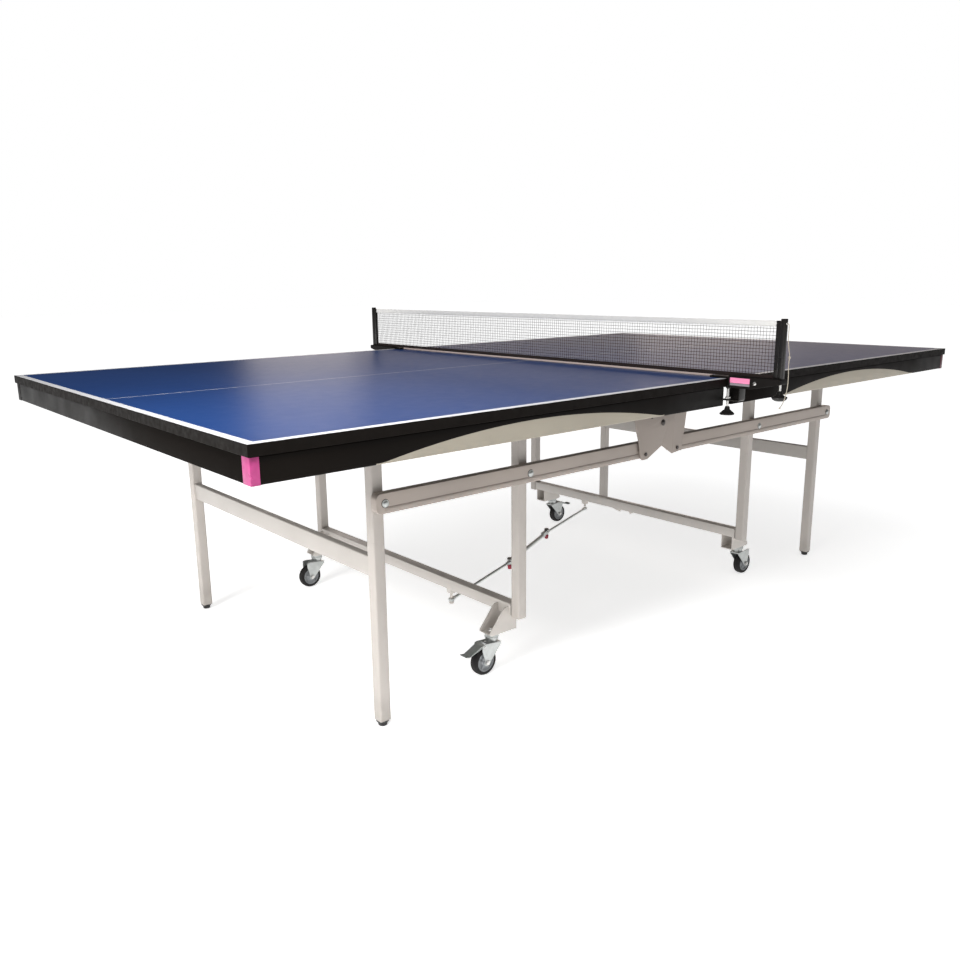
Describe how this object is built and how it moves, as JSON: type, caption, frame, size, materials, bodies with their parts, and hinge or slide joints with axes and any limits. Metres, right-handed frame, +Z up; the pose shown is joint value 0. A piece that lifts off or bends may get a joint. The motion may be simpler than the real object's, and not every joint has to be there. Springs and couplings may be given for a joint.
{
  "type": "ping pong table",
  "caption": "Rollaway table tennis table: two folding half tops with skirts on square-tube legs, linked side rails, swivel casters, folding stay and a clamp-on net.",
  "frame": {"origin": "on the floor, under the middle of the net line", "axes": "+X along the table's length, +Y across it away from the side with the free net cord, +Z up"},
  "size_m": [2.74, 1.8579, 0.9175],
  "materials": {
    "playing_surface": "matt blue lacquer on board, with white lines",
    "apron_paint": "powder coat, beige with printed black areas",
    "frame_paint": "satin powder coat, warm light grey",
    "rail_paint": "satin powder coat, warm mid grey",
    "zinc": "bright zinc plate",
    "black_metal": "black semi-gloss paint",
    "black_plastic": "moulded black plastic",
    "tyre": "matt black rubber",
    "netting": "knotted mesh with a white top tape",
    "cord": "twisted cream cord",
    "white_line": "white line paint and tape",
    "pink_print": "glossy pink decal, no lettering",
    "red_plastic": "dark red moulded plastic",
    "chrome": "bright plated steel"
  },
  "bodies": {
    "left_inner_frame": {"left_near_inner_leg": "frame_paint", "left_far_inner_leg": "frame_paint", "left_inner_crossbar": "frame_paint"},
    "left_top": {"left_board": "playing_surface", "left_near_apron": "apron_paint", "left_far_apron": "apron_paint", "left_end_apron": "apron_paint", "left_outer_beam": "frame_paint", "left_inner_beam": "frame_paint"},
    "left_outer_frame": {"left_near_outer_leg": "frame_paint", "left_near_foot": "black_plastic", "left_far_outer_leg": "frame_paint", "left_far_foot": "black_plastic", "left_outer_crossbar": "frame_paint"},
    "left_linkage": {"left_near_rail": "rail_paint", "left_near_centre_plate": "rail_paint", "left_far_rail": "rail_paint", "left_far_centre_plate": "rail_paint"},
    "left_near_caster": {"left_near_caster_fork": "zinc"},
    "left_near_wheel": {"left_near_caster_wheel": "tyre"},
    "left_far_caster": {"left_far_caster_fork": "zinc"},
    "left_far_wheel": {"left_far_caster_wheel": "tyre"},
    "right_top": {"right_board": "playing_surface", "right_near_apron": "apron_paint", "right_far_apron": "apron_paint", "right_end_apron": "apron_paint", "right_outer_beam": "frame_paint", "right_inner_beam": "frame_paint"},
    "right_outer_frame": {"right_near_outer_leg": "frame_paint", "right_near_foot": "black_plastic", "right_far_outer_leg": "frame_paint", "right_far_foot": "black_plastic", "right_outer_crossbar": "frame_paint"},
    "right_linkage": {"right_near_rail": "rail_paint", "right_near_centre_plate": "rail_paint", "right_far_rail": "rail_paint", "right_far_centre_plate": "rail_paint"},
    "right_near_caster": {"right_near_caster_fork": "zinc"},
    "right_near_wheel": {"right_near_caster_wheel": "tyre"},
    "right_far_caster": {"right_far_caster_fork": "zinc"},
    "right_far_wheel": {"right_far_caster_wheel": "tyre"},
    "right_inner_frame": {"right_near_inner_leg": "frame_paint", "right_far_inner_leg": "frame_paint", "right_inner_crossbar": "frame_paint"},
    "left_near_pedal": {"left_near_brake_pedal": "black_metal"},
    "right_far_pedal": {"right_far_brake_pedal": "black_metal"},
    "net_brackets": {"near_clamp_arm": "black_metal", "far_clamp_arm": "black_metal"},
    "near_screw": {"near_clamp_screw": "black_plastic"},
    "net_set": {"near_net_post": "black_metal", "far_net_post": "black_metal", "net": "netting", "net_cord": "cord"},
    "near_knob": {"near_height_knob": "black_plastic"},
    "far_screw": {"far_clamp_screw": "black_plastic"},
    "far_knob": {"far_height_knob": "black_plastic"},
    "stay_left": {"left_stay_rod": "zinc"},
    "stay_middle": {"stay_middle_bar": "zinc"},
    "stay_right": {"right_stay_rod": "zinc"}
  },
  "joints": [
    {"name": "fold", "type": "hinge", "parent": "left_inner_frame", "child": "left_top", "pos_m": [-0.518, 0, 0.689], "axis": [0, 1, 0], "range_deg": [0, 84]},
    {"name": "left_outer_leg_fold", "type": "hinge", "parent": "left_top", "child": "left_outer_frame", "pos_m": [-0.957, 0, 0.689], "axis": [0, 1, 0], "range_deg": [-84.5, 0]},
    {"name": "left_linkage_fold", "type": "hinge", "parent": "left_inner_frame", "child": "left_linkage", "pos_m": [-0.518, 0, 0.546], "axis": [0, 1, 0], "range_deg": [0, 84.5]},
    {"name": "centre_bolt_fold", "type": "hinge", "parent": "left_linkage", "child": "right_linkage", "pos_m": [0, 0, 0.617], "axis": [0, 1, 0], "range_deg": [-168.5, 0]},
    {"name": "right_inner_leg_fold", "type": "hinge", "parent": "right_linkage", "child": "right_inner_frame", "pos_m": [0.518, 0, 0.546], "axis": [0, 1, 0], "range_deg": [0, 84.5]},
    {"name": "right_top_fold", "type": "hinge", "parent": "right_inner_frame", "child": "right_top", "pos_m": [0.518, 0, 0.689], "axis": [0, 1, 0], "range_deg": [-84.5, 0]},
    {"name": "right_outer_leg_fold", "type": "hinge", "parent": "right_top", "child": "right_outer_frame", "pos_m": [0.957, 0, 0.689], "axis": [0, 1, 0], "range_deg": [0, 84.5]},
    {"name": "net_level", "type": "hinge", "parent": "left_linkage", "child": "net_brackets", "pos_m": [0, 0, 0.617], "axis": [0, 1, 0], "range_deg": [-84.5, 0]},
    {"name": "net_lift", "type": "slide", "parent": "net_brackets", "child": "net_set", "axis": [0, 0, 1], "range_m": [0, 0.2205]},
    {"name": "near_clamp_screw_travel", "type": "slide", "parent": "net_brackets", "child": "near_screw", "axis": [0, 0, -1], "range_m": [0, 0.012]},
    {"name": "near_height_knob_turn", "type": "hinge", "parent": "net_set", "child": "near_knob", "pos_m": [0, -0.9075, 0.755], "axis": [0, 0, 1], "continuous": true},
    {"name": "far_clamp_screw_travel", "type": "slide", "parent": "net_brackets", "child": "far_screw", "axis": [0, 0, -1], "range_m": [0, 0.012]},
    {"name": "far_height_knob_turn", "type": "hinge", "parent": "net_set", "child": "far_knob", "pos_m": [0, 0.9075, 0.755], "axis": [0, 0, 1], "continuous": true},
    {"name": "left_near_caster_swivel", "type": "hinge", "parent": "left_inner_frame", "child": "left_near_caster", "pos_m": [-0.575, -0.455, 0.1], "axis": [0, 0, 1], "continuous": true},
    {"name": "left_near_wheel_spin", "type": "hinge", "parent": "left_near_caster", "child": "left_near_wheel", "pos_m": [-0.605, -0.455, 0.0375], "axis": [0, 1, 0], "continuous": true},
    {"name": "left_far_caster_swivel", "type": "hinge", "parent": "left_inner_frame", "child": "left_far_caster", "pos_m": [-0.575, 0.455, 0.1], "axis": [0, 0, 1], "continuous": true},
    {"name": "left_far_wheel_spin", "type": "hinge", "parent": "left_far_caster", "child": "left_far_wheel", "pos_m": [-0.605, 0.455, 0.0375], "axis": [0, 1, 0], "continuous": true},
    {"name": "right_near_caster_swivel", "type": "hinge", "parent": "right_inner_frame", "child": "right_near_caster", "pos_m": [0.575, -0.455, 0.1], "axis": [0, 0, 1], "continuous": true},
    {"name": "right_near_wheel_spin", "type": "hinge", "parent": "right_near_caster", "child": "right_near_wheel", "pos_m": [0.605, -0.455, 0.0375], "axis": [0, 1, 0], "continuous": true},
    {"name": "right_far_caster_swivel", "type": "hinge", "parent": "right_inner_frame", "child": "right_far_caster", "pos_m": [0.575, 0.455, 0.1], "axis": [0, 0, 1], "continuous": true},
    {"name": "right_far_wheel_spin", "type": "hinge", "parent": "right_far_caster", "child": "right_far_wheel", "pos_m": [0.605, 0.455, 0.0375], "axis": [0, 1, 0], "continuous": true},
    {"name": "left_near_brake", "type": "hinge", "parent": "left_near_caster", "child": "left_near_pedal", "pos_m": [-0.614, -0.455, 0.083], "axis": [0, -1, 0], "range_deg": [0, 10]},
    {"name": "right_far_brake", "type": "hinge", "parent": "right_far_caster", "child": "right_far_pedal", "pos_m": [0.614, 0.455, 0.083], "axis": [0, 1, 0], "range_deg": [0, 10]},
    {"name": "stay_left_swing", "type": "hinge", "parent": "left_inner_frame", "child": "stay_left", "pos_m": [-0.518, -0.215, 0.119], "axis": [0, 0, 1], "range_deg": [0, 58]},
    {"name": "stay_left_joint", "type": "hinge", "parent": "stay_left", "child": "stay_middle", "pos_m": [-0.165, -0.08, 0.119], "axis": [0, 0, 1], "range_deg": [-153, 0]},
    {"name": "stay_right_joint", "type": "hinge", "parent": "stay_middle", "child": "stay_right", "pos_m": [0.165, 0.08, 0.119], "axis": [0, 0, 1], "range_deg": [0, 153]}
  ],
  "couplings": [
    {"joint": "left_outer_leg_fold", "follows": "fold", "ratio": -1},
    {"joint": "left_linkage_fold", "follows": "fold", "ratio": 1},
    {"joint": "centre_bolt_fold", "follows": "fold", "ratio": -2},
    {"joint": "right_inner_leg_fold", "follows": "fold", "ratio": 1},
    {"joint": "right_top_fold", "follows": "fold", "ratio": -1},
    {"joint": "right_outer_leg_fold", "follows": "fold", "ratio": 1},
    {"joint": "net_level", "follows": "fold", "ratio": -1},
    {"joint": "net_lift", "follows": "fold", "m_per_rad": 0.15},
    {"joint": "stay_left_swing", "follows": "fold", "ratio": 0.6767},
    {"joint": "stay_left_joint", "follows": "fold", "ratio": -1.8121},
    {"joint": "stay_right_joint", "follows": "fold", "ratio": 1.8121}
  ]
}
